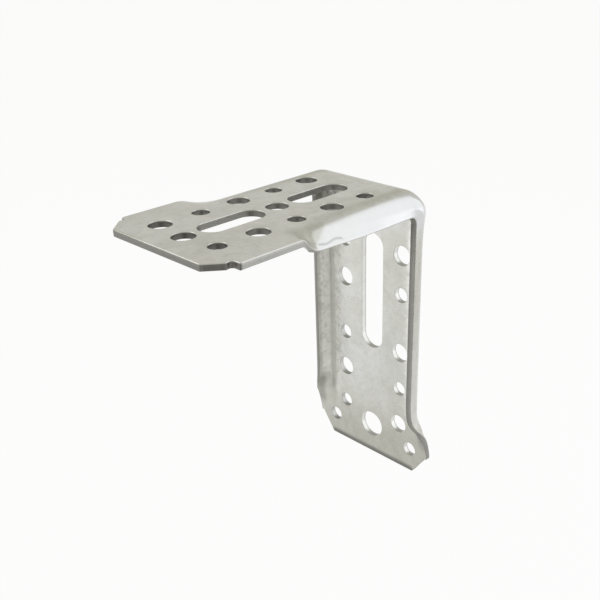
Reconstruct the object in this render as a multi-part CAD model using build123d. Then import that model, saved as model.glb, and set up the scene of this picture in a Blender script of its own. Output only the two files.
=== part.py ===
# Angle bracket, one pressed piece of galvanised sheet steel.
# A long upright leg stands against a wall and a shorter leg reaches out level from its top. The two
# side edges are folded in towards the inside of the angle, all the way round the bend, and run out flat
# before each end. Both legs are pierced with small and large screw holes, slots and one anchor hole.
# Millimetres, +Z up. The wall is the plane X = 0 and the level leg points along +X. The origin is the
# centre of the anchor hole at the wall face.
import math
import os

from build123d import *

# Sheet and legs
sheet = 2.0               # thickness
width = 50.0              # full width of the flat ends
shelf_length = 83.3       # level leg, wall face to end edge
wall_length = 102.0       # upright leg, top face to end edge
bend_radius = 8.6         # outside of the main bend

# Folded side edges
web = 32.0                # flat width between the two folds
fold_radius = 5.4         # outside of each fold
fold_angle = 78.0         # how far the edge is folded, in degrees
corner_radius = 2.0       # free edge at the inside of the main bend
shelf_run_out = 38.5      # length over which the folds open out
shelf_flat_end = 25.8     # flat beyond them
wall_run_out = 22.0
wall_flat_end = 8.0
# Share of the run-out, then the share of the full fold angle on the right side and on the left.
shelf_opening = [
    (0.0, 1.0, 1.0), (0.13, 0.94, 0.95), (0.28, 0.855, 0.87), (0.44, 0.78, 0.76), (0.57, 0.695, 0.61),
    (0.65, 0.64, 0.49), (0.715, 0.595, 0.33), (0.765, 0.52, 0.235), (0.815, 0.435, 0.19),
    (0.86, 0.30, 0.145), (0.90, 0.15, 0.095), (0.935, 0.06, 0.05), (0.965, 0.018, 0.02), (1.0, 0.004, 0.004),
]
wall_opening = [
    (0.0, 1.0, 1.0), (0.135, 0.96, 0.96), (0.225, 0.91, 0.91), (0.32, 0.81, 0.81), (0.385, 0.69, 0.69),
    (0.455, 0.53, 0.53), (0.52, 0.37, 0.37), (0.59, 0.25, 0.25), (0.66, 0.173, 0.173), (0.75, 0.109, 0.109),
    (0.855, 0.055, 0.055), (0.94, 0.02, 0.02), (1.0, 0.004, 0.004),
]

# Ends of the legs
shelf_corner_across, shelf_corner_along = 4.05, 4.85
shelf_nose_step = 2.65    # how much narrower the nose is on each side
shelf_nose = 6.9          # length of the nose
shelf_notch_radius = 1.0  # where the nose meets the full width
wall_corner_across, wall_corner_along = 4.9, 7.0
wall_nose_step = 1.2
wall_nose = 7.3
wall_notch_radius = 0.2

# Holes: places run from the outside corner of the angle, or back from the end of a leg
small_hole = 5.0
large_hole = 6.5
shelf_row_count = 5
shelf_first_row, shelf_last_row = 18.9, shelf_length - 10.6
shelf_column = 12.0       # from the centre line
shelf_slots = [25.85, shelf_length - 25.1]
shelf_centre_holes = [sum(shelf_slots) / 2 - 0.1, shelf_length - 9.25]
shelf_slot_width, shelf_slot_length = 8.5, 21.0
wall_rows = [23.4, 36.9, wall_length - 44.3, wall_length - 30.6, wall_length - 16.6]
wall_column = 12.2
corner_hole_down, corner_hole_column = wall_length - 8.5, 17.5
wall_slot_down, wall_slot_width, wall_slot_length = 39.2, 9.0, 41.0
anchor_down, anchor_hole = wall_length - 11.3, 9.5

# Worked out from the sizes above
neutral = fold_radius - sheet / 2
shelf_fold_end = shelf_length - shelf_flat_end
shelf_fold_start = shelf_fold_end - shelf_run_out
wall_fold_end = wall_length - wall_flat_end
wall_fold_start = wall_fold_end - wall_run_out
shelf_pitch = (shelf_last_row - shelf_first_row) / (shelf_row_count - 1)
shelf_rows = [shelf_first_row + shelf_pitch * k for k in range(shelf_row_count)]


def section(share, depth=None):
    """Sheet section as (across, depth) points, folded by a share of the full angle.

    The sheet's developed width stays the same, so the edge grows longer as the fold opens. With a
    depth, the straight part of the edge stops at that depth instead."""
    a = math.radians(fold_angle) * share
    flat = width / 2 - web / 2 - a * neutral
    if depth is not None:
        flat = (depth - fold_radius * (1 - math.cos(a))) / math.sin(a)

    def at(r, s, angle):
        return (web / 2 + r * math.sin(angle) + s * math.cos(angle),
                fold_radius - r * math.cos(angle) + s * math.sin(angle))

    inner = fold_radius - sheet
    return {
        "out": [at(fold_radius, 0, 0), at(fold_radius, 0, a / 2), at(fold_radius, 0, a),
                at(fold_radius, flat, a)],
        "in": [at(inner, flat, a), at(inner, 0, a), at(inner, 0, a / 2), at(inner, 0, 0)],
    }


def section_face(place, right_share, left_share, depth=None):
    """Closed C-shaped face; place turns (across, depth) into a point in space."""

    def side(share, sign):
        s = section(share, depth)
        o = [place(sign * across, down) for across, down in s["out"]]
        i = [place(sign * across, down) for across, down in s["in"]]
        edges = [ThreePointArc(o[0], o[1], o[2]), Line(o[2], o[3]), Line(o[3], i[0]), Line(i[0], i[1]),
                 ThreePointArc(i[1], i[2], i[3])]
        return edges, o[0], i[3]

    right, right_out, right_in = side(right_share, 1)
    left, left_out, left_in = side(left_share, -1)
    return Face(Wire([Line(left_out, right_out)] + right + [Line(right_in, left_in)] + left[::-1]))


def on_shelf(x):
    return lambda across, depth: Vector(x, across, -depth)


def on_wall(z):
    return lambda across, depth: Vector(depth, across, z)


def eased(place, start, end, table):
    """The length over which both folds open out, through one section for each row of the table."""
    faces = [section_face(place(start + (end - start) * u), right, left) for u, right, left in table]
    return Solid(loft(faces).wrapped)


# The bend, with its folded edges deepened to the inside corner and then trimmed
axis_clearance = 0.06     # keeps the deepened edges off the bend's own axis
corner_margin = 0.6       # straight length kept on each leg past the inside corner
spare = 3.0               # how far a cutting block reaches past the metal
deep = bend_radius - sheet * math.cos(math.radians(fold_angle)) - axis_clearance
edge_across, edge_depth = section(1.0)["out"][3]
corner_start = max(bend_radius, edge_depth + corner_radius) + corner_margin
arm_length = corner_start - bend_radius
level_end = section_face(on_shelf(bend_radius), 1.0, 1.0, deep)
upright_end = section_face(on_wall(-bend_radius), 1.0, 1.0, deep)
bend = revolve(level_end, axis=Axis((bend_radius, 0, -bend_radius), (0, -1, 0)), revolution_arc=90)
corner = bend + extrude(level_end, arm_length, (1, 0, 0)) + extrude(upright_end, arm_length, (0, 0, -1))

# The free edge of each fold is square to the sheet, so each trimming block widens outwards by the
# angle the fold stops short of a right angle.
lean = 90 - fold_angle
block_depth = fold_radius + spare
far = corner_start + 2 * spare
arc_end = edge_depth + corner_radius
arc_middle = edge_depth + corner_radius * (1 - math.sqrt(0.5))
for sign in (1, -1):
    y = edge_across * sign
    outline = Wire([
        Line(Vector(edge_depth, y, -far), Vector(edge_depth, y, -arc_end)),
        ThreePointArc(Vector(edge_depth, y, -arc_end), Vector(arc_middle, y, -arc_middle),
                      Vector(arc_end, y, -edge_depth)),
        Line(Vector(arc_end, y, -edge_depth), Vector(far, y, -edge_depth)),
        Line(Vector(far, y, -edge_depth), Vector(far, y, -far)),
        Line(Vector(far, y, -far), Vector(edge_depth, y, -far)),
    ])
    corner -= extrude(Face(outline), amount=block_depth, dir=(0, -sign, 0), taper=lean)
    corner -= extrude(Face(outline), amount=block_depth, dir=(0, sign, 0), taper=-lean)

# Straight and easing lengths, then the flat ends
shelf_flat = section_face(on_shelf(shelf_fold_end), *shelf_opening[-1][1:])
wall_flat = section_face(on_wall(-wall_fold_end), *wall_opening[-1][1:])
shelf_folded = section_face(on_shelf(corner_start), 1.0, 1.0)
wall_folded = section_face(on_wall(-corner_start), 1.0, 1.0)
pieces = [
    extrude(shelf_folded, shelf_fold_start - corner_start, (1, 0, 0)),
    eased(on_shelf, shelf_fold_start, shelf_fold_end, shelf_opening),
    extrude(shelf_flat, shelf_length - shelf_fold_end, (1, 0, 0)),
    extrude(wall_folded, wall_fold_start - corner_start, (0, 0, -1)),
    eased(on_wall, -wall_fold_start, -wall_fold_end, wall_opening),
    extrude(wall_flat, wall_length - wall_fold_end, (0, 0, -1)),
]
bracket = corner
for piece in pieces:
    bracket = bracket + piece


# Ends: a slightly narrower nose with cut corners
def nose_cut(length, nose_length, step, cut_across, cut_along, notch_radius, sign):
    """What is cut away at one corner of an end, as a flat face laid out along and across the leg."""
    side, half, far_end = width / 2 - step, width / 2 + spare, length + spare
    base = length - nose_length
    outline = Polyline([(base, half * sign), (base, side * sign), (length - cut_along, side * sign),
                        (length, (side - cut_across) * sign), (far_end, (side - cut_across) * sign),
                        (far_end, half * sign), (base, half * sign)])
    cut = make_face(outline)
    root = cut.vertices().sort_by_distance((base, side * sign, 0))[0]
    return fillet(root, min(notch_radius, 0.8 * step, 0.8 * (nose_length - cut_along)))


shelf_top = Plane(origin=(0, 0, -sheet - spare), x_dir=(1, 0, 0), z_dir=(0, 0, 1))
wall_front = Plane(origin=(-spare, 0, 0), x_dir=(0, 0, -1), z_dir=(1, 0, 0))
for sign in (1, -1):
    cut = nose_cut(shelf_length, shelf_nose, shelf_nose_step, shelf_corner_across, shelf_corner_along,
                   shelf_notch_radius, sign)
    bracket -= extrude(shelf_top * cut, sheet + 2 * spare, (0, 0, 1))
    cut = nose_cut(wall_length, wall_nose, wall_nose_step, wall_corner_across, wall_corner_along,
                   wall_notch_radius, sign)
    bracket -= extrude(wall_front * cut, sheet + 2 * spare, (1, 0, 0))


# Holes
def shelf_drill(x, y, diameter):
    return Pos(x, y, -sheet / 2) * Cylinder(diameter / 2, sheet + 2 * spare)


def wall_drill(down, y, diameter):
    return Pos(sheet / 2, y, -down) * Rot(0, 90, 0) * Cylinder(diameter / 2, sheet + 2 * spare)


cutters = []
for k, x in enumerate(shelf_rows):
    on_left = large_hole if k % 2 == 0 else small_hole
    on_right = small_hole if k % 2 == 0 else large_hole
    cutters += [shelf_drill(x, -shelf_column, on_left), shelf_drill(x, shelf_column, on_right)]
for x in shelf_centre_holes:
    cutters.append(shelf_drill(x, 0, large_hole))
level_slot = extrude(SlotOverall(shelf_slot_length, shelf_slot_width), sheet + 2 * spare)
for x in shelf_slots:
    cutters.append(Pos(x, 0, -sheet - spare) * level_slot)
for k, down in enumerate(wall_rows):
    on_right = large_hole if k % 2 == 0 else small_hole
    on_left = small_hole if k % 2 == 0 else large_hole
    cutters += [wall_drill(down, wall_column, on_right), wall_drill(down, -wall_column, on_left)]
for y in (corner_hole_column, -corner_hole_column):
    cutters.append(wall_drill(corner_hole_down, y, small_hole))
cutters.append(wall_drill(anchor_down, 0, anchor_hole))
slot_plane = Plane(origin=(-spare, 0, -wall_slot_down), x_dir=(0, 0, 1), z_dir=(1, 0, 0))
upright_slot = slot_plane * SlotOverall(wall_slot_length, wall_slot_width)
cutters.append(extrude(upright_slot, sheet + 2 * spare, (1, 0, 0)))
for cutter in cutters:
    bracket -= cutter

# Origin at the anchor hole, on the wall face
bracket = Pos(0, 0, anchor_down) * bracket
solids = bracket.solids()
bracket = max(solids, key=lambda s: s.volume)
bracket.label = "bracket"

os.makedirs("parts", exist_ok=True)
export_step(bracket, "parts/bracket.step")
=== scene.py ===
import math

import bmesh
import bpy
import numpy as np
from mathutils import Matrix, Vector
from mathutils.geometry import delaunay_2d_cdt


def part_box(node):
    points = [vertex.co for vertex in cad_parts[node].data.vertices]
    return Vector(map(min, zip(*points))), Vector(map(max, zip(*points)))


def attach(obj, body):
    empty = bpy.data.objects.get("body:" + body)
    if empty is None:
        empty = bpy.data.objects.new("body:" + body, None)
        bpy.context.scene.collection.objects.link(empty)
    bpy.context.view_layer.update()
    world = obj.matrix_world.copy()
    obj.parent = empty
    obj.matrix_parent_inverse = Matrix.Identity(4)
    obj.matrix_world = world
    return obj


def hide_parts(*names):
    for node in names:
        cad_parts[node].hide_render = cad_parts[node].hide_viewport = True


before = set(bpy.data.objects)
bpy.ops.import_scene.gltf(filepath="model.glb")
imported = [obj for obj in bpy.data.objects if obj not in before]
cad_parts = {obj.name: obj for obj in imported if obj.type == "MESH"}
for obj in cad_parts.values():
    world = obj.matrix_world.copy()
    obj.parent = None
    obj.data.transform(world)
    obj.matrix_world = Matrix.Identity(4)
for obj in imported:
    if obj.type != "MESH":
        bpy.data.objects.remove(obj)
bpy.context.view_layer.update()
low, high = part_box("bracket")
mm = 0.001


# The node arithmetic that the punching, the zinc, the floor and the world are written in. A Wire is one
# output of a tree: + - * / on it add Math nodes, and node() adds a node of any other kind to that tree.
class Wire:
    def __init__(self, tree, output=None):
        self.tree = tree
        self.output = output

    def node(self, kind, settings, sockets, output=0):
        made = self.tree.nodes.new(kind)
        for name, value in settings.items():
            setattr(made, name, value)
        for name, value in sockets.items():
            if isinstance(value, Wire):
                self.tree.links.new(value.output, made.inputs[name])
            else:
                made.inputs[name].default_value = value
        return Wire(self.tree, made.outputs[output]) if made.outputs else made

    def math(self, operation, first, second=0.0):
        return self.node("ShaderNodeMath", {"operation": operation}, {0: first, 1: second})

    def __add__(self, other):
        return self.math("ADD", self, other)

    def __sub__(self, other):
        return self.math("SUBTRACT", self, other)

    def __mul__(self, other):
        return self.math("MULTIPLY", self, other)

    def __truediv__(self, other):
        return self.math("DIVIDE", self, other)

    def __rsub__(self, other):
        return self.math("SUBTRACT", other, self)

    def __rtruediv__(self, other):
        return self.math("DIVIDE", other, self)

    __radd__ = __add__
    __rmul__ = __mul__


# The punched holes: a strip of 2 mm sheet is pierced flat, before anything is folded. Each leg has two
# columns of screw holes, large and small in turn, and slots and larger holes on its centre line. Places
# are (along the strip, across it), and the strip runs from the level leg's end to the foot of the upright.
sheet = 2.0 * mm
bend_radius = 8.6 * mm                      # outside of the main bend
shelf_length = high.x
wall_length = 102.0 * mm
bend_start = shelf_length - bend_radius
bend_end = bend_start + bend_radius * math.pi / 2
strip_length = bend_end + wall_length - bend_radius
small_hole, large_hole, anchor_hole = 2.5 * mm, 3.25 * mm, 4.75 * mm     # radii
shelf_column, wall_column = 12.0 * mm, 12.2 * mm
shelf_first_row, shelf_last_row = 18.9 * mm, shelf_length - 10.6 * mm
shelf_slot_radius, shelf_slot_reach = 4.25 * mm, 6.25 * mm
wall_slot_radius, wall_slot_reach = 4.5 * mm, 16.0 * mm
wall_rows = [23.4 * mm, 36.9 * mm] + [wall_length - up for up in (44.3 * mm, 30.6 * mm, 16.6 * mm)]
shelf_slots = [25.85 * mm, shelf_length - 25.1 * mm]
shelf_centre_holes = [41.9 * mm, 74.05 * mm]
wall_slot_down, foot_hole_across = 39.2 * mm, 17.5 * mm
foot_hole_up, anchor_up = 8.5 * mm, 11.3 * mm


def on_shelf(from_corner):
    return shelf_length - from_corner


def on_wall(down):
    return bend_end + down - bend_radius


holes = []                                  # (along, across, radius, half the straight side of a slot)
for k in range(5):
    along = on_shelf(shelf_first_row + (shelf_last_row - shelf_first_row) * k / 4)
    left, right = (large_hole, small_hole) if k % 2 == 0 else (small_hole, large_hole)
    holes += [(along, -shelf_column, left, 0.0), (along, shelf_column, right, 0.0)]
for k, down in enumerate(wall_rows):
    left, right = (small_hole, large_hole) if k % 2 == 0 else (large_hole, small_hole)
    holes += [(on_wall(down), -wall_column, left, 0.0), (on_wall(down), wall_column, right, 0.0)]
holes += [(on_shelf(place), 0.0, shelf_slot_radius, shelf_slot_reach) for place in shelf_slots]
holes += [(on_shelf(place), 0.0, large_hole, 0.0) for place in shelf_centre_holes]
holes += [(on_wall(wall_slot_down), 0.0, wall_slot_radius, wall_slot_reach)]
for across in (-foot_hole_across, foot_hole_across):
    holes += [(on_wall(wall_length - foot_hole_up), across, small_hole, 0.0)]
holes += [(on_wall(wall_length - anchor_up), 0.0, anchor_hole, 0.0)]


def punch_tree():
    """A ring round each point, as wide as its radius and drawn out along the strip by its reach."""
    tree = bpy.data.node_groups.new("punched holes", "GeometryNodeTree")
    tree.interface.new_socket("Geometry", in_out="INPUT", socket_type="NodeSocketGeometry")
    steps = tree.interface.new_socket("Steps round a hole", in_out="INPUT", socket_type="NodeSocketInt")
    metal = tree.interface.new_socket("Metal", in_out="INPUT", socket_type="NodeSocketMaterial")
    tree.interface.new_socket("Geometry", in_out="OUTPUT", socket_type="NodeSocketGeometry")
    start = Wire(tree)
    points, count, coat = (start.node("NodeGroupInput", {}, {}, k) for k in range(3))
    read, read_vector = {"data_type": "FLOAT"}, {"data_type": "FLOAT_VECTOR"}
    radius = start.node("GeometryNodeInputNamedAttribute", read, {"Name": "radius"})
    reach = start.node("GeometryNodeInputNamedAttribute", read, {"Name": "reach"})
    circle = start.node("GeometryNodeMeshCircle", {"fill_type": "NONE"}, {"Vertices": count, "Radius": 1.0})
    local = start.node("GeometryNodeInputPosition", {}, {})
    marked = start.node("GeometryNodeStoreNamedAttribute", read_vector,
                        {"Geometry": circle, "Name": "outward", "Value": local})
    placed = start.node("GeometryNodeInstanceOnPoints", {},
                        {"Points": points, "Instance": marked, "Scale": radius})
    rings = start.node("GeometryNodeRealizeInstances", {}, {"Geometry": placed})
    outward = start.node("GeometryNodeInputNamedAttribute", read_vector, {"Name": "outward"})
    along = start.node("ShaderNodeSeparateXYZ", {}, {"Vector": outward})
    rounded_off = start.math("ROUND", along * 1000.0) / 1000.0
    drawn = start.math("SIGN", rounded_off) * reach
    offset = start.node("ShaderNodeCombineXYZ", {}, {"X": drawn})
    slots = start.node("GeometryNodeSetPosition", {}, {"Geometry": rings, "Offset": offset})
    done = start.node("GeometryNodeSetMaterial", {}, {"Geometry": slots, "Material": coat})
    start.node("NodeGroupOutput", {}, {0: done})
    return tree, {"steps": steps.identifier, "metal": metal.identifier}


def punch(zinc, steps_round=48):
    """One list of (place, outward direction) for each hole, read from the evaluated rings."""
    centres = bpy.data.meshes.new("hole centres")
    centres.from_pydata([(along, across, 0.0) for along, across, radius, reach in holes], [], [])
    for name, column in (("radius", 2), ("reach", 3)):
        values = [hole[column] for hole in holes]
        centres.attributes.new(name, "FLOAT", "POINT").data.foreach_set("value", values)
    strip = bpy.data.objects.new("hole centres", centres)
    bpy.context.scene.collection.objects.link(strip)
    modifier = strip.modifiers.new("punch", "NODES")
    modifier.node_group, socket = punch_tree()
    modifier[socket["steps"]] = steps_round
    modifier[socket["metal"]] = zinc
    bpy.context.view_layer.update()
    rings = bpy.data.meshes.new_from_object(strip.evaluated_get(bpy.context.evaluated_depsgraph_get()))
    place = np.zeros(len(rings.vertices) * 3)
    rings.vertices.foreach_get("co", place)
    outward = np.zeros(len(rings.vertices) * 3)
    rings.attributes["outward"].data.foreach_get("vector", outward)
    bpy.data.objects.remove(strip)
    place, outward = place.reshape(-1, 3)[:, :2], outward.reshape(-1, 3)[:, :2]
    starts = range(0, len(place), steps_round)
    return [(place[k:k + steps_round], outward[k:k + steps_round]) for k in starts]


# The blank: the outline that the strip is cut to. Each end is a slightly narrower nose with its corners cut
# off. Cutting leaves a rolled rim on the outer face and a fine burr on the inner one.
half_width = 25.0 * mm
tip_half = 18.3 * mm                        # straight part of the level leg's end, from the centre line
shelf_corner_along, shelf_nose = 4.85 * mm, 6.9 * mm
wall_nose, wall_nose_step = 7.3 * mm, 1.2 * mm
wall_corner_across, wall_corner_along = 4.9 * mm, 7.0 * mm
corner_round = 0.6 * mm
# half width by the notch, tip radius, half width at the notch's root, its radius and the shoulder's radius
right_nose = (22.35 * mm, 0.6 * mm, 21.9 * mm, 1.0 * mm, 0.0)
left_nose = (22.95 * mm, 1.4 * mm, 22.95 * mm, 0.8 * mm, 0.8 * mm)
rolled_rim, burr_rim, pierced_rim = 0.42 * mm, 0.10 * mm, 0.16 * mm
rim_hold = 0.12 * mm                        # flat kept beside a rim, so that the rim stays crisp
wall_hold = 0.1 * mm                        # the same down the cut wall

# Polish of the cut walls: of the whole outline, then what its long sides add on the level leg and on the
# upright. The first row is beside the outer face, the second beyond the worn part of the wall.
edge_polish = ((0.08, 0.36, 0.14), (0.06, 0.28, 0.12))
edge_polish_fade = 14 * mm                  # below the bend
upright_hole_polish, left_column_polish, right_column_polish = 0.50, 0.60, 1.0
# Painted shade at the bottom of the upright's holes: the share of their far polish it takes away, where on
# the way round it begins and its fade.
hole_bottom_shade, hole_bottom_from, hole_bottom_fade = 0.55, 0.75, 0.2
# Negative polish paints shade into the notch's concave corner; at the foot it makes a dark band along the
# end.
slot_polish, notch_shade, foot_band_tone = 0.10, -0.25, -0.18
notch_middle, notch_reach, notch_inside = shelf_nose - 1.0 * mm, 1.2 * mm, 21 * mm
level_worn, upright_worn, worn_fade = 0.38, 0.18, 0.07      # shares of the sheet's thickness
# Where the dark band along the foot's end begins on the cut rims, and its fade.
foot_band_from, foot_band_fade = strip_length - 1.2 * mm, 0.6 * mm
last_row = strip_length - 1.0 * mm


def half_outline(nose_half, tip_radius, root, root_radius, shoulder_radius):
    """One long side of the blank, from the level leg's end to the foot: (along, across, corner radius)."""
    wall_side = half_width - wall_nose_step
    wall_base = strip_length - wall_nose
    return [
        (0.0, tip_half, tip_radius),
        (shelf_corner_along, nose_half, corner_round),
        (shelf_nose, root, root_radius),
        (shelf_nose, half_width, shoulder_radius),
        (wall_base, half_width, corner_round),
        (wall_base, wall_side, 0.0),
        (strip_length - wall_corner_along, wall_side, 0.0),
        (strip_length, wall_side - wall_corner_across, corner_round),
    ]


def rounded(corners, turn_steps=5):
    """The closed outline with each corner replaced by an arc, or kept sharp where its radius is 0."""
    points = []
    for k, (x, y, radius) in enumerate(corners):
        here = np.array((x, y))
        if radius == 0:
            points.append(here)
            continue
        back = np.array(corners[k - 1][:2]) - here
        ahead = np.array(corners[(k + 1) % len(corners)][:2]) - here
        back, ahead = back / np.linalg.norm(back), ahead / np.linalg.norm(ahead)
        half_turn = math.acos(max(-1.0, min(1.0, float(back @ ahead)))) / 2
        reach = radius / math.tan(half_turn)
        centre = here + (back + ahead) / np.linalg.norm(back + ahead) * radius / math.sin(half_turn)
        first, last = here + back * reach - centre, here + ahead * reach - centre
        sweep = math.pi - 2 * half_turn
        for step in range(turn_steps + 1):
            share = step / turn_steps
            spoke = math.sin((1 - share) * sweep) * first + math.sin(share * sweep) * last
            points.append(centre + spoke / math.sin(sweep))
    return np.array(points)


def divided(points, longest):
    """The closed outline with its long sides cut into equal steps."""
    fine = []
    for here, there in zip(points, np.roll(points, -1, axis=0)):
        steps = max(1, math.ceil(np.linalg.norm(there - here) / longest))
        fine += [here + (there - here) * k / steps for k in range(steps)]
    return np.array(fine)


def into_sheet(points):
    """At each point of an outline that runs clockwise or not, the way in that keeps the rim's width."""
    area = np.sum(points[:, 0] * np.roll(points[:, 1], -1) - np.roll(points[:, 0], -1) * points[:, 1])
    side = np.roll(points, -1, axis=0) - points
    side /= np.linalg.norm(side, axis=1, keepdims=True)
    inward = np.column_stack((-side[:, 1], side[:, 0])) * np.sign(area)
    before = np.roll(inward, 1, axis=0)
    total = before + inward
    return total / np.sum(total * inward, axis=1, keepdims=True)


def outside_holes(places, margin):
    """Which places lie in the sheet, at least a margin outside every hole."""
    outside = np.ones(len(places), bool)
    for along, across, radius, reach in holes:
        run = np.clip(places[:, 0] - along, -reach, reach)
        outside &= np.hypot(places[:, 0] - along - run, places[:, 1] - across) > radius + margin
    return outside


def rising(value, start, width):
    """0 up to the start and 1 from the width after it, rising evenly between."""
    return np.clip((value - start) / width, 0.0, 1.0)


def falling(value, end, width):
    """1 up to the width before the end and 0 from the end, falling evenly between."""
    return np.clip((end - value) / width, 0.0, 1.0)


def rim_profile(place, way, is_edge):
    """Steps over a cut rim: (inset, depth, cut mark, polish with painted shade), each with a value for each
    point of the loop.

    The level leg is pierced from its outer face and the upright from its inner one. Holes in the upright
    keep a bright band beside the inner face, and painted shade darkens their lowest part."""
    nothing = np.zeros(len(place))
    along, across = place.T
    upright = along.min() > bend_end
    foot = rising(along, foot_band_from, foot_band_fade) * is_edge
    if is_edge:
        sideways = way[:, 1] ** 4
        down = rising(along, bend_end, edge_polish_fade)
        near, far = [np.where(along < bend_start, base + more_level * sideways,
                              (base + more_upright * sideways) * down)
                     for base, more_level, more_upright in edge_polish]
        near, far = near * (1 - foot), far * (1 - foot)
        # Painted shade in the notch's concave corner.
        notch = (np.abs(along - notch_middle) < notch_reach) & (np.abs(across) > notch_inside)
        near, far = np.where(notch, notch_shade, near), np.where(notch, notch_shade, far)
    elif upright:
        most = left_column_polish if across.mean() < -wall_column / 2 else right_column_polish
        near = nothing + upright_hole_polish
        # Painted shade darkens the lowest part of each hole wall.
        far = most * (1 - hole_bottom_shade * rising(way[:, 0], hole_bottom_from, hole_bottom_fade))
    else:
        is_slot = np.ptp(along) > 3 * large_hole
        near = far = nothing + slot_polish * is_slot * way[:, 1] ** 8
    outer = nothing + (burr_rim if upright else rolled_rim)
    inner = nothing + (pierced_rim if upright else burr_rim)
    worn = upright_worn if upright else level_worn
    bare = 1.0 * ((across < 2 * mm - half_width) & (along > bend_end)) * is_edge
    quarter = [math.pi / 2 * k / 4 for k in range(5)]
    steps = [(outer * (1 - math.sin(turn)), outer * (1 - math.cos(turn)),
              np.maximum(max(0.0, k / 2 - 1), bare), near)
             for k, turn in enumerate(quarter)]
    for depth, polish_and_shade in ((outer + wall_hold, near), (nothing + worn * sheet, near),
                          (nothing + (worn + worn_fade) * sheet, far), (sheet - inner - wall_hold, far)):
        steps.append((nothing, depth, nothing + 1.0, polish_and_shade))
    steps += [(inner * (1 - math.cos(turn)), sheet - inner * (1 - math.sin(turn)),
               np.maximum(1.0 - k / 4, foot), far)
              for k, turn in enumerate(quarter)]
    return steps, foot


def blank_mesh(rings):
    """The flat pierced blank: points (along, across, depth below the outer face), faces, cut marks and
    polish with painted shade."""
    left = [(x, -y, radius) for x, y, radius in reversed(half_outline(*left_nose))]
    edge = divided(rounded(half_outline(*right_nose) + left), 0.8 * mm)
    loops = [(edge, into_sheet(edge))] + rings
    inset = rolled_rim + rim_hold

    # Rows of points over the flat of the sheet, closer together where it will be bent or folded.
    beside_bend = 6 * mm
    along_rows = np.concatenate([
        np.arange(1.0 * mm, bend_start - beside_bend, 1.0 * mm),
        np.arange(bend_start - beside_bend, bend_end + beside_bend, 0.5 * mm),
        np.arange(bend_end + beside_bend, last_row - 0.5 * mm, 1.0 * mm),
        [last_row],
    ])
    flat_rows, fold_rows = np.arange(0.75 * mm, 15 * mm, 1.5 * mm), np.arange(15.4 * mm, 25 * mm, 0.45 * mm)
    half_rows = np.concatenate([flat_rows, fold_rows])
    across_rows = np.concatenate([-half_rows[::-1], half_rows])
    grid = np.array([(x, y) for x in along_rows for y in across_rows])
    clear = 0.35 * mm
    keep = outside_holes(grid, inset + clear)
    inner_edge = edge + into_sheet(edge) * inset
    for here, there in zip(inner_edge, np.roll(inner_edge, -1, axis=0)):
        run = there - here
        share = np.clip((grid - here) @ run / max(run @ run, 1e-12), 0.0, 1.0)
        keep &= np.hypot(*(grid - here - share[:, None] * run).T) > clear
    grid = grid[keep]

    rims = [place + way * inset for place, way in loops]
    flat_points = np.concatenate(rims + [grid])
    sides, start = [], 0
    for rim in rims:
        sides += [(start + k, start + (k + 1) % len(rim)) for k in range(len(rim))]
        start += len(rim)
    laid = delaunay_2d_cdt([Vector(p) / mm for p in flat_points], sides, [], 1, 1e-6)
    plan = np.array([tuple(p) for p in laid[0]]) * mm
    origin = {source: k for k, sources in enumerate(laid[3]) for source in sources}

    points = [(x, y, 0.0) for x, y in plan] + [(x, y, sheet) for x, y in plan]
    faces = np.array([tuple(face) for face in laid[2]])
    in_sheet = outside_holes(plan[faces].mean(axis=1), inset - 0.02 * mm)
    faces = [tuple(face) for face in faces[in_sheet].tolist()]
    a, b, c = plan[np.array(faces)].transpose(1, 2, 0)
    area = np.sum(a[0] * (b[1] - c[1]) + b[0] * (c[1] - a[1]) + c[0] * (a[1] - b[1]))
    if area < 0:
        faces = [face[::-1] for face in faces]
    faces = faces + [tuple(k + len(plan) for k in face[::-1]) for face in faces]
    # The inner face's last row at the foot is marked as cut and darkened into that dark band.
    at_foot = [1.0 * (x > last_row - 0.1 * mm) for x, y in plan]
    cut = [0.0] * len(plan) + at_foot
    shine_and_shade = [0.0] * len(plan) + [foot_band_tone * share for share in at_foot]

    # Each rim: over the edge of the outer face, down the cut wall and round the edge of the inner face.
    start = 0
    for place, way in loops:
        ring_before = [origin[start + k] for k in range(len(place))]
        start += len(place)
        last_ring = [k + len(plan) for k in ring_before]
        rings_down = []
        steps, foot = rim_profile(place, way, start == len(edge))
        for k, share in zip(last_ring, foot):
            cut[k], shine_and_shade[k] = share, foot_band_tone * share
        for inset_here, depth, mark, polish_and_shade in steps:
            rings_down.append(list(range(len(points), len(points) + len(place))))
            spots = (place + way * inset_here[:, None]).tolist()
            points += [(*spot, down) for spot, down in zip(spots, depth)]
            cut += mark.tolist()
            shine_and_shade += polish_and_shade.tolist()
        area = np.sum(place[:, 0] * np.roll(place[:, 1], -1) - np.roll(place[:, 0], -1) * place[:, 1])
        facing = 1 if (area > 0) == (start == len(loops[0][0])) else -1
        for upper, lower in zip([ring_before] + rings_down, rings_down + [last_ring]):
            for k in range(len(place)):
                n = (k + 1) % len(place)
                faces.append((upper[k], upper[n], lower[n], lower[k])[::-facing])
    return np.array(points), faces, np.array(cut), np.array(shine_and_shade)


# Pressing: the tool bends the pierced blank to a right angle and folds both long edges in, all the way
# round the bend. The folds run out flat before each end, the right one with its line moving out to the free
# edge, and the metal they gather swells a little at the bend.
top_face = high.z
bend_middle = (bend_start + bend_end) / 2
web_half = 16.0 * mm                        # flat between the centre line and a fold
fold_radius = 5.4 * mm
fold_angle = math.radians(78.0)
neutral = fold_radius - sheet / 2
tight_radius, tight_ease = 2.0 * mm, 6 * mm     # inner corner of the upright's folds, and its beginning
inside_corner = 2.0 * mm                    # free edge of a fold at the inside of the bend
corner_ease, corner_reach = 0.8 * mm, 14.0 * mm
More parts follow.
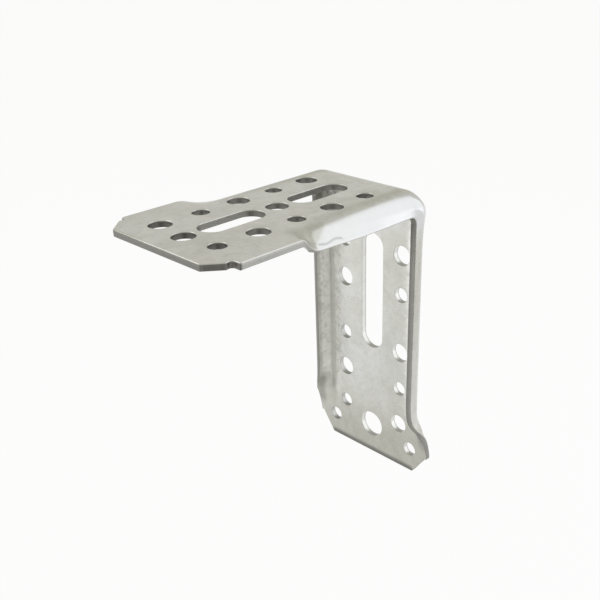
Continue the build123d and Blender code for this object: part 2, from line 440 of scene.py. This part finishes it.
# how far the right fold is closed, and how far its line then lies outside its place when closed
late_shares = [0.0, 0.12, 0.25, 0.40, 0.55, 0.70, 0.85, 1.0]
late_steps = [2.5 * mm, 2.5 * mm, 3.0 * mm, 2.5 * mm, 1.5 * mm, 0.7 * mm, 0.15 * mm, 0.0]
swell, swell_length = 1.2 * mm, 9 * mm
swell_depths = [0.0, 2.0 * mm, 4.5 * mm, 7.2 * mm]
swell_shares = [0.0, 1.0, 1.0, 0.1]
shelf_fold_end, shelf_run_out = shelf_length - 25.8 * mm, 38.5 * mm
wall_fold_end, wall_run_out = wall_length - 8.0 * mm, 22.0 * mm
# share of the run-out, then the share of the full fold angle on the right side and on the left
shelf_opening = np.array([
    (0.0, 1.0, 1.0), (0.13, 0.94, 0.95), (0.28, 0.855, 0.87), (0.44, 0.765, 0.76), (0.52, 0.70, 0.668),
    (0.60, 0.66, 0.565), (0.67, 0.63, 0.44), (0.725, 0.605, 0.311), (0.765, 0.58, 0.235),
    (0.79, 0.535, 0.212), (0.83, 0.425, 0.175), (0.865, 0.31, 0.139), (0.91, 0.145, 0.084),
    (0.93, 0.055, 0.055), (0.945, 0.0, 0.04), (1.0, 0.0, 0.0),
])
wall_opening = np.array([
    (0.0, 1.0, 1.0), (0.135, 0.96, 0.96), (0.225, 0.91, 0.91), (0.32, 0.81, 0.81), (0.385, 0.69, 0.69),
    (0.455, 0.53, 0.53), (0.52, 0.37, 0.37), (0.59, 0.25, 0.25), (0.66, 0.173, 0.173), (0.75, 0.109, 0.109),
    (0.855, 0.055, 0.055), (0.94, 0.02, 0.02), (1.0, 0.0, 0.0),
])


def fold_share(place, fold_end, run_out, opening, right):
    """How far the fold is closed at a place on a leg, eased between the table's rows."""
    fine = np.linspace(-0.3, 1.3, 1601)
    window = np.hanning(61)
    window /= window.sum()
    share = 1 - (fold_end - place) / run_out
    eased = []
    for column in (1, 2):
        rows = np.interp(fine, opening[:, 0], opening[:, column])
        smooth = np.convolve(np.pad(rows, len(window) // 2, mode="edge"), window, mode="valid")
        eased.append(np.interp(share, fine, smooth))
    return np.where(right, eased[0], eased[1])


def closed_share(along, across):
    """How far the fold beside each place of the blank is closed, on either leg."""
    right = across >= 0
    on_level = fold_share(shelf_length - along, shelf_fold_end, shelf_run_out, shelf_opening, right)
    down = along - bend_end + bend_radius
    on_upright = fold_share(down, wall_fold_end, wall_run_out, wall_opening, right)
    return np.where(along < bend_middle, on_level, on_upright)


def fold_at(across, share):
    """Where the fold beside each place starts and how far it turns, for the share that it is closed.

    As the right fold opens, its line moves out to the free edge, while the free edge keeps its depth."""
    turns = np.linspace(0.0, 1.5, 751)

    def edge_depths(start):
        bent = np.minimum(turns, (half_width - start) / neutral)
        return fold_radius * (1 - np.cos(bent)) + (half_width - start - bent * neutral) * np.sin(bent)

    shares = np.linspace(0.0, 1.0, 101)
    starts = web_half + np.interp(shares, late_shares, late_steps)
    depths = np.interp(shares * fold_angle, turns, edge_depths(web_half))
    angles = [np.interp(depth, edge_depths(start), turns) for start, depth in zip(starts, depths)]
    start = np.where(across > 0, np.interp(share, shares, starts), web_half)
    return start, np.where(across > 0, np.interp(share, shares, angles), share * fold_angle)


# Where the press leaves its marks, and where painted light and shade are put on the metal. A thin line of
# painted shade marks the crease beside the free edge where the right fold begins.
crease_along = [34.6 * mm, 38.2 * mm, 40.6 * mm, 41.8 * mm, 44.3 * mm]
crease_across = [23.3 * mm, 23.75 * mm, 23.15 * mm, 23.05 * mm, 23.5 * mm]
crease_far = 5.0                            # mm, where there is no crease
shade_deep, shade_faint = 0.05, 0.60      # mm, the ramp of the painted shade's darkness, at the crease and the other shaded places
shine_start, shine_slant = 42.0 * mm, 1.5   # where the right fold's shine begins, at its line and beyond
# How strong the painted shade is: along the inner folds' free edges, in the inner fold corners, over the
# run-outs, on the right of the upright's web and towards the foot.
fold_edge_shade, fold_corner_shade, run_out_shade, web_right_shade, web_foot_shade = 0.35, 0.50, 0.8, 0.38, 0.55
marks_ease = 8 * mm                         # past the bend


def outer_painted_shade(along, across, away, share, start, past_bend):
    """Painted shade on the outer face, where darker reflections are painted in: the fold lines, the
    upright's flanges, the beginning of the right fold and the left half of the level leg's end."""
    fold_line = np.exp(-((away - start - 0.2 * mm) / (1.6 * mm)) ** 2) * share ** 2
    upright_reach = np.clip(1.5 - (along - bend_end) / (50 * mm), 0.0, 1.0) * past_bend
    flange = rising(away, web_half + 4 * mm, 2 * mm) * upright_reach * share
    shine_line = shine_start - shine_slant * np.maximum(across - 18.5 * mm, 0.0)
    beginning = rising(along, 26.5 * mm, 2.5 * mm) * falling(along, shine_line, 1.5 * mm)
    beginning *= falling(share, 0.80, 0.12) * rising(across, web_half, 3 * mm) * 0.85 * (along < bend_start)
    tip_rim = (along < 0.5 * mm) * rising(-across, 2 * mm, 10 * mm)
    return np.maximum.reduce([fold_line, flange, beginning, tip_rim])


def worked(points):
    """Marks of the press, with painted light and shade: painted shade along the folds, rubbed and coarse
    inside them, with painted light there and beside them, smooth with a painted cool sheen where they
    shine, and the distance in mm from the painted shade of the crease by the free edge, near 0 too where
    painted shade darkens the inside corner, the folds' free edges, the first hole walls and the level leg's
    cut corners."""
    along, across, depth = points.T
    away = np.abs(across)
    share = closed_share(along, across)
    start, full = fold_at(across, share)
    outer, upright, level = depth < sheet / 2, along > bend_end, along < bend_start
    past_bend = rising(along, bend_end, marks_ease)

    in_fold = rising(away, start + 1.2 * mm, 0.8 * mm) * np.sqrt(share) * upright
    inner_flange = rising(away, start + full * neutral - 2.4 * mm, 1.2 * mm) * in_fold * past_bend
    # Painted shade on the inner face: over the run-outs, along the folds' free edges, on the right of the
    # web, towards the foot and in the fold corners.
    run_out = falling(share, 0.99, 0.12) * rising(share, 0.0, 0.12) * past_bend
    edge_band = np.maximum(fold_edge_shade * rising(away, 23.2 * mm, 0.5 * mm) * share * past_bend,
                           run_out * rising(away, 21.2 * mm, 1.8 * mm))
    run_out *= run_out_shade * rising(away, start, 2 * mm)
    web_right = web_right_shade * rising(across, 1 * mm, 8 * mm) * (away < 16.5 * mm) * past_bend
    web_foot = web_foot_shade * rising(along, bend_end + 66 * mm, 16 * mm)
    fold_corner = fold_corner_shade * (in_fold - inner_flange)
    painted_shade = np.where(outer, outer_painted_shade(along, across, away, share, start, past_bend),
                    np.maximum.reduce([fold_corner, run_out, edge_band, web_right, web_foot]))

    # Smooth where the folds shine; the shader also gives these places a painted cool sheen.
    smooth = rising(away, start + 1.5 * mm, 1.5 * mm) * share * outer * (1 - past_bend)
    edge_side = falling(away, half_width + 0.3 * mm, 1.5 * mm)
    # Painted light on the web beside each fold of the upright; the inner flanges are mottled by rubbing and
    # lightened with painted light too.
    fold_side = rising(away, 13.8 * mm, 2.6 * mm) * falling(away, 17.6 * mm, 0.5 * mm) * past_bend
    rubbed_and_lit = (inner_flange * edge_side * (1 - edge_band) + fold_side) * share ** 2 * (1 - run_out)
    rubbed_and_lit = np.where(outer, 0.0, rubbed_and_lit)
    coarse = np.where(outer, 0.0, rising(away, start + 1.0 * mm, 0.6 * mm) * share * upright)

    # A thin line of painted shade along the crease by the free edge.
    shade_distance = away - np.interp(along, crease_along, crease_across)
    beyond_ends = np.maximum(np.maximum(crease_along[0] - along, along - crease_along[-1]), 0.0)
    shade_distance = np.clip((shade_distance + np.sign(shade_distance) * 3 * beyond_ends) / mm, -crease_far, crease_far)
    shade_distance = np.where(outer & (across > 0) & level, shade_distance, crease_far)
    # Painted shade along the inner faces of the folds' free edges.
    edge_shade = shade_faint + (shade_deep - shade_faint) * edge_band
    shade_distance = np.where(outer | (edge_band <= 0), shade_distance, edge_shade)

    # Painted shade makes the first hole walls and the cut corners of the level leg's end darker than the
    # other cuts.
    in_cut = (depth > 0.3 * mm) & (depth < 1.8 * mm) & (along < 16 * mm)
    shade_distance[in_cut & (along > shelf_nose - 0.9 * mm) & (away < web_half)] = 0.0
    shade_distance[in_cut & (away > tip_half + 0.2 * mm) & (away < 22.2 * mm)] = 0.25
    # Painted shade in the inside corner of the bend.
    in_corner = ~outer & (away > 16.5 * mm) & (along > bend_start) & (along < bend_end + 6 * mm)
    shade_distance[in_corner], painted_shade[in_corner] = 0.0, 1.0
    return painted_shade, rubbed_and_lit, smooth, coarse, shade_distance


def pressed(points):
    """Moves points of the flat blank to where the press leaves them."""
    along, across, depth = points.T
    right = across >= 0
    away = np.abs(across)
    from_corner = shelf_length - along
    down = along - bend_end + bend_radius
    share = closed_share(along, across)
    start, full = fold_at(across, share)
    turned = np.clip((away - start) / neutral, 0.0, full)
    beyond = np.maximum(away - start - full * neutral, 0.0)
    arc_radius = fold_radius - depth
    out = np.minimum(away, start) + arc_radius * np.sin(turned) + beyond * np.cos(turned)
    fallen = fold_radius - arc_radius * np.cos(turned) + beyond * np.sin(turned)
    drop = np.where(away > start, fallen, depth)

    # The inner face of the upright's folds has a tighter corner than a plain offset of the outer one.
    inner_radius = fold_radius - sheet
    straight = (inner_radius - tight_radius) * np.tan(full / 2)
    travelled = turned / np.maximum(full, 1e-6) * (2 * straight + tight_radius * full)
    corner_turn = np.clip((travelled - straight) / tight_radius, 0.0, full)
    after = np.maximum(travelled - straight - tight_radius * full, 0.0)
    inside = rising(depth / sheet, 0.9, 0.1) * rising(along, bend_end, tight_ease)
    out += inside * (np.minimum(travelled, straight) + tight_radius * np.sin(corner_turn)
                     + after * np.cos(full) - inner_radius * np.sin(turned))
    drop += inside * (tight_radius * (1 - np.cos(corner_turn)) + after * np.sin(full)
                      - inner_radius * (1 - np.cos(turned)))

    near_bend = np.exp(-((along - bend_middle) / swell_length) ** 2)
    out += swell * near_bend * np.interp(drop, swell_depths, swell_shares) * (away > web_half)

    slack = bend_radius - drop - inside_corner
    radius = inside_corner + (slack + np.sqrt(slack ** 2 + corner_ease ** 2)) / 2
    centre = drop + radius
    angle = np.clip((along - bend_start) / bend_radius, 0.0, math.pi / 2)
    reach = np.where(along < bend_start, from_corner, down)
    pulled = centre + (reach - bend_radius) * (corner_reach - centre) / (corner_reach - bend_radius)
    reach = np.where(reach < corner_reach, pulled, reach)
    x = np.where(along < bend_start, reach, centre - radius * np.sin(angle))
    z = np.where(along < bend_start, -drop, -centre + radius * np.cos(angle))
    x = np.where(along > bend_end, drop, x)
    z = np.where(along > bend_end, -reach, z)
    return np.column_stack((x, np.where(right, out, -out), z + top_face))


# The zinc: sheet that was hot-dipped before it was cut, so both faces carry a satin zinc skin with fine
# spangles, rubbed or smoothed where the press worked it. Painted shade darkens bands along the folds,
# their inner corners and the foot, and painted light brightens the inner flanges, with a painted cool sheen
# on the smooth folds. The cut edges are bare steel: burnished near the rolled rim and torn grey below it,
# with painted shade in the notch and at the bottom of the upright's holes.
zinc_colour = (0.665, 0.668, 0.642)
warm_cloud = (0.60, 0.594, 0.552)
blush_colour = (0.66, 0.638, 0.612)
# Colour of the painted shade.
painted_shade_colour = (0.50, 0.497, 0.445)
# Colour of the painted shade towards the foot.
foot_shade_colour = (0.46, 0.457, 0.405)
# Rubbed zinc, lightened with painted light.
rubbed_and_lit_colour = (0.90, 0.90, 0.865)
# Painted cool sheen on the smooth folds.
painted_sheen_colour = (0.664, 0.669, 0.672)
torn_colour = (0.215, 0.21, 0.192)
polished_colour = (0.72, 0.72, 0.69)
top_start, top_full = 0.082, 0.088          # heights in m, between the upright and the level leg's top
blush_start, blush_full, blush_fade, blush_end = 0.030, 0.042, 0.060, 0.075     # m from the wall
# Heights in m where the painted shade towards the foot begins and is full, and its slant across.
foot_start, foot_full, foot_slant = 0.010, -0.007, 0.25
painted_shade_least = 0.72                         # brightness in the painted shade
metal_share = 0.85

marks = ("cut edge", "polish_and_shade", "painted_shade", "rubbed_and_lit", "smooth", "coarse", "shade_distance")


def zinc_material():
    zinc = bpy.data.materials.new("galvanised zinc")
    zinc.use_nodes = True
    zinc.node_tree.nodes.clear()
    start = Wire(zinc.node_tree)
    place = start.node("ShaderNodeTexCoord", {}, {}, "Object")
    sideways, height, from_wall = (start.node("ShaderNodeSeparateXYZ", {}, {"Vector": place}, axis)
                                   for axis in ("Y", "Z", "X"))
    cut, shine_and_shade, painted_shade, rubbed_and_lit, smooth, coarse, shade_distance = (
        start.node("ShaderNodeAttribute", {"attribute_name": name}, {}, "Fac") for name in marks)

    def noise(scale, detail, roughness, distortion=0.0):
        return start.node("ShaderNodeTexNoise", {}, {"Vector": place, "Scale": scale, "Detail": detail,
                                                     "Roughness": roughness, "Distortion": distortion})

    streaks, clouds, blush = noise(130.0, 4.0, 0.55, 1.2), noise(55.0, 3.0, 0.6), noise(38.0, 2.0, 0.5, 0.6)
    grain, mottle = noise(1500.0, 4.0, 0.7), noise(360.0, 3.0, 0.6, 1.0)
    spangle = start.node("ShaderNodeTexVoronoi", {}, {"Vector": place, "Scale": 620.0}, "Color")
    cell = start.node("ShaderNodeSeparateColor", {}, {"Color": spangle}, 0)

    def blend(share, first, second):
        colours = [colour if isinstance(colour, Wire) else (*colour, 1.0) for colour in (first, second)]
        return start.node("ShaderNodeMix", {"data_type": "RGBA"},
                          {"Factor": share, "A": colours[0], "B": colours[1]}, 2)

    def ramp(value, low_end, high_end):
        return start.node("ShaderNodeMapRange", {"interpolation_type": "SMOOTHSTEP"},
                          {"Value": value, "From Min": low_end, "From Max": high_end})

    clouded = blend(ramp(clouds, 0.38, 0.66), zinc_colour, warm_cloud)
    on_top = ramp(height, top_start, top_full)
    before_end = 1.0 - ramp(from_wall, blush_fade, blush_end)
    on_middle = ramp(from_wall, blush_start, blush_full) * before_end * 0.7
    blushed = start.math("MAXIMUM", ramp(blush, 0.50, 0.68) * 0.8, on_middle) * on_top
    clouded = blend(blushed, clouded, blush_colour)
    # Painted shade, darker towards the foot.
    at_foot = ramp(height - sideways * foot_slant, foot_start, foot_full)
    # A painted cool sheen where the folds are smooth.
    toned = blend(smooth * 0.9, clouded, painted_sheen_colour)
    # The painted shade of the marks over the foot's painted shade.
    toned = blend(painted_shade, blend(at_foot, toned, foot_shade_colour), painted_shade_colour)
    # Mottled rubbing, with painted light on the inner flanges and beside the folds.
    skin_colour = blend(rubbed_and_lit * (0.95 + (mottle - 0.5) * 3.0), toned, rubbed_and_lit_colour)
    speckle = (streaks - 0.5) * 0.30 + (mottle - 0.5) * 0.22 + (cell - 0.5) * 0.05 + (grain - 0.5) * 0.02
    fleck = 1.0 + speckle * (1.0 - smooth * 0.85)
    colour = blend(cut, skin_colour, blend(shine_and_shade, torn_colour, polished_colour))
    # Painted shade of the crease, the inside corner, the folds' free edges, the first hole walls and the
    # cut corners.
    from_shade = ramp(start.math("ABSOLUTE", shade_distance), shade_deep, shade_faint)
    shaded = from_shade * (1.0 - painted_shade_least) + painted_shade_least
    flecked = start.node("ShaderNodeVectorMath", {"operation": "SCALE"},
                         {"Vector": colour, "Scale": fleck * shaded})
    rough = 0.28 + speckle * 0.35 * (1.0 - smooth) + cut * (0.20 - shine_and_shade * 0.14) + coarse * 0.22
    relief = (grain * 0.4 + mottle * 2.0) * (1.0 - smooth * 0.9)
    bump = start.node("ShaderNodeBump", {}, {"Height": relief, "Strength": 0.06, "Distance": 0.0002})
    skin = start.node("ShaderNodeBsdfPrincipled", {},
                      {"Base Color": flecked, "Roughness": rough, "Metallic": metal_share, "Normal": bump})
    start.node("ShaderNodeOutputMaterial", {}, {"Surface": skin})
    return zinc


zinc = zinc_material()
points, faces, cut, shine_and_shade = blank_mesh(punch(zinc))
mesh = bpy.data.meshes.new("pressed bracket")
mesh.from_pydata(pressed(points).tolist(), [], faces)
for name, values in zip(marks, (cut, shine_and_shade, *worked(points))):
    mesh.attributes.new(name, "FLOAT", "POINT").data.foreach_set("value", values)
mesh.materials.append(zinc)
shaped = bmesh.new()
shaped.from_mesh(mesh)
triangles = [face for face in shaped.faces if len(face.verts) == 3]
bmesh.ops.join_triangles(shaped, faces=triangles, angle_face_threshold=math.radians(12),
                         angle_shape_threshold=math.radians(60))
for face in shaped.faces:
    face.smooth = True
shaped.to_mesh(mesh)
shaped.free()
bracket = bpy.data.objects.new("pressed_bracket", mesh)
bpy.context.scene.collection.objects.link(bracket)
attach(bracket, "root")
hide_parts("bracket")


# The studio: a pale floor well under the foot, a large cool softbox behind on the right and a smaller one
# on the left, two low fills that light the inner faces, a grey card that darkens the cut ends, and a camera
# at the photograph's angle.
paper_share = 0.9                           # of the floor's light that is its own glow


def floor_material():
    paper = bpy.data.materials.new("white paper")
    paper.use_nodes = True
    paper.node_tree.nodes.clear()
    start = Wire(paper.node_tree)
    seen = start.node("ShaderNodeLightPath", {}, {}, "Is Camera Ray")
    glossy = start.node("ShaderNodeLightPath", {}, {}, "Is Glossy Ray")
    clear = start.node("ShaderNodeLightPath", {}, {}, "Is Transmission Ray")
    lit = start.node("ShaderNodeBsdfDiffuse", {}, {"Color": (0.9, 0.9, 0.9, 1.0)})
    glow = start.node("ShaderNodeEmission", {}, {"Color": (1.0, 1.0, 1.0, 1.0), "Strength": 1.0})
    share = start.math("MINIMUM", seen + glossy + clear, 1.0) * paper_share
    mixed = start.node("ShaderNodeMixShader", {}, {0: share, 1: lit, 2: glow})
    start.node("ShaderNodeOutputMaterial", {}, {"Surface": mixed})
    return paper


floor_size = 6.0                            # m, half of a side
floor_height = low.z - 150 * mm             # so that no shadow reaches it in view
floor_mesh = bpy.data.meshes.new("floor")
corners = [(x * floor_size, y * floor_size, floor_height) for x, y in ((-1, -1), (1, -1), (1, 1), (-1, 1))]
floor_mesh.from_pydata(corners, [], [(0, 1, 2, 3)])
floor_mesh.materials.append(floor_material())
floor = bpy.data.objects.new("floor", floor_mesh)
bpy.context.scene.collection.objects.link(floor)

world = bpy.data.worlds.new("studio")
bpy.context.scene.world = world
world.use_nodes = True
world.node_tree.nodes.clear()
start = Wire(world.node_tree)
sky = start.node("ShaderNodeBackground", {}, {"Color": (1.0, 1.0, 0.93, 1.0), "Strength": 0.7})
start.node("ShaderNodeOutputWorld", {}, {"Surface": sky})

middle = (Vector(low) + Vector(high)) / 2


def softbox(name, place, aim, width, height, radiance, tint=(1.0, 1.0, 1.0)):
    lamp = bpy.data.lights.new(name, "AREA")
    lamp.color = tint
    lamp.shape = "RECTANGLE"
    lamp.size, lamp.size_y = width, height
    lamp.energy = radiance * math.pi * width * height
    stand = bpy.data.objects.new(name, lamp)
    stand.location = place
    stand.rotation_euler = (Vector(aim) - Vector(place)).to_track_quat("-Z", "Y").to_euler()
    stand.visible_camera = False
    bpy.context.scene.collection.objects.link(stand)


def around(degrees, distance, height):
    """A place in the studio: bearing from +X, distance from the bracket and height over its middle."""
    turn = math.radians(degrees)
    return middle + Vector((math.cos(turn) * distance, math.sin(turn) * distance, height))


softbox("right softbox", around(140, 0.60, 0.24), middle, 0.70, 0.95, 0.74, (0.88, 0.91, 1.0))
softbox("left softbox", around(-55, 0.70, 0.62), middle, 0.6, 0.6, 1.0)
softbox("right low fill", around(74, 0.32, -0.15), middle, 0.16, 0.15, 0.5)
softbox("left low fill", around(-42, 0.45, -0.12), middle, 0.52, 0.15, 0.23)

card_bearing, card_distance, card_half_width, card_height, card_grey = 43, 0.34, 0.12, 0.26, 0.05
card_material = bpy.data.materials.new("grey card")
card_material.use_nodes = True
card_skin = card_material.node_tree.nodes["Principled BSDF"]
card_skin.inputs["Base Color"].default_value = (card_grey, card_grey, card_grey, 1.0)
card_skin.inputs["Roughness"].default_value = 1.0
card_mesh = bpy.data.meshes.new("grey card")
card_turn = math.radians(card_bearing)
across = Vector((-math.sin(card_turn), math.cos(card_turn), 0.0)) * card_half_width
foot_line = around(card_bearing, card_distance, 0.0)
foot_line.z = floor_height
top_line = foot_line + Vector((0, 0, card_height))
card_corners = [foot_line - across, foot_line + across, top_line + across, top_line - across]
card_mesh.from_pydata(card_corners, [], [(0, 1, 2, 3)])
card_mesh.materials.append(card_material)
card = bpy.data.objects.new("grey card", card_mesh)
card.visible_camera = False
bpy.context.scene.collection.objects.link(card)

camera_place = Vector((189.13, 166.35, 161.95)) * mm
camera_forward = Vector((-0.6196, -0.6318, -0.4658)).normalized()
camera_right = Vector((-0.7050, 0.7088, -0.0237))
camera_up = camera_right.cross(camera_forward).normalized()
camera_right = camera_forward.cross(camera_up)
camera = bpy.data.objects.new("camera", bpy.data.cameras.new("camera"))
camera.data.sensor_width = 36.0
camera.data.lens = 49.62
camera.data.shift_x = -0.0363
camera.data.shift_y = 0.0831
camera.data.clip_start = 0.01
rotation = Matrix((camera_right, camera_up, -camera_forward)).transposed()
camera.matrix_world = Matrix.Translation(camera_place) @ rotation.to_4x4()
bpy.context.scene.collection.objects.link(camera)
bpy.context.scene.camera = camera
bpy.context.scene.view_settings.view_transform = "Standard"
